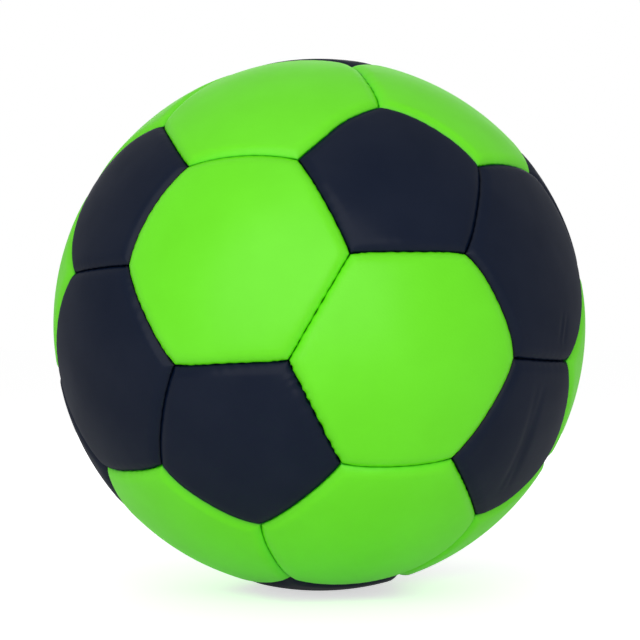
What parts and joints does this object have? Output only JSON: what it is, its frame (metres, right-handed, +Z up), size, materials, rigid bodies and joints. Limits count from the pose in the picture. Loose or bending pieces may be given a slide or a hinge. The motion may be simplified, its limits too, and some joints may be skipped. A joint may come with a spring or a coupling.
{
  "type": "handball",
  "caption": "Hand-stitched two-colour ball for throwing and catching, with an air bladder and a needle valve.",
  "frame": {"origin": "centre of the ball", "axes": "+Z up as the ball lies, -Y towards the viewer, +X to the viewer's right"},
  "size_m": [0.1878, 0.1878, 0.1878],
  "materials": {
    "navy_skin": "satin synthetic leather",
    "green_skin": "satin synthetic leather",
    "foam": "soft foam",
    "lining": "woven textile",
    "thread": "waxed thread",
    "bladder_rubber": "matt",
    "valve_rubber": "matt",
    "core_rubber": "matt"
  },
  "bodies": {
    "root": {"navy_pentagon_1": "navy_skin", "navy_pentagon_2": "navy_skin", "navy_pentagon_3": "navy_skin", "navy_pentagon_4": "navy_skin", "navy_pentagon_5": "navy_skin", "navy_pentagon_6": "navy_skin", "navy_pentagon_7": "navy_skin", "navy_pentagon_8": "navy_skin", "navy_pentagon_9": "navy_skin", "navy_pentagon_10": "navy_skin", "navy_pentagon_11": "navy_skin", "navy_pentagon_12": "navy_skin", "navy_hexagon_1": "navy_skin", "navy_hexagon_2": "navy_skin", "navy_hexagon_3": "navy_skin", "navy_hexagon_4": "navy_skin", "green_hexagon_1": "green_skin", "green_hexagon_2": "green_skin", "green_hexagon_3": "green_skin", "green_hexagon_4": "green_skin", "green_hexagon_5": "green_skin", "green_hexagon_6": "green_skin", "green_hexagon_7": "green_skin", "green_hexagon_8": "green_skin", "green_hexagon_9": "green_skin", "green_hexagon_10": "green_skin", "green_hexagon_11": "green_skin", "green_hexagon_12": "green_skin", "green_hexagon_13": "green_skin", "green_hexagon_14": "green_skin", "green_hexagon_15": "green_skin", "valve_panel": "green_skin", "pentagon_foams": "foam", "hexagon_foams": "foam", "pentagon_linings": "lining", "hexagon_linings": "lining", "pentagon_seam_thread": "thread", "hexagon_seam_thread": "thread", "bladder": "bladder_rubber", "valve_seat": "valve_rubber", "valve_core": "core_rubber"}
  },
  "joints": []
}
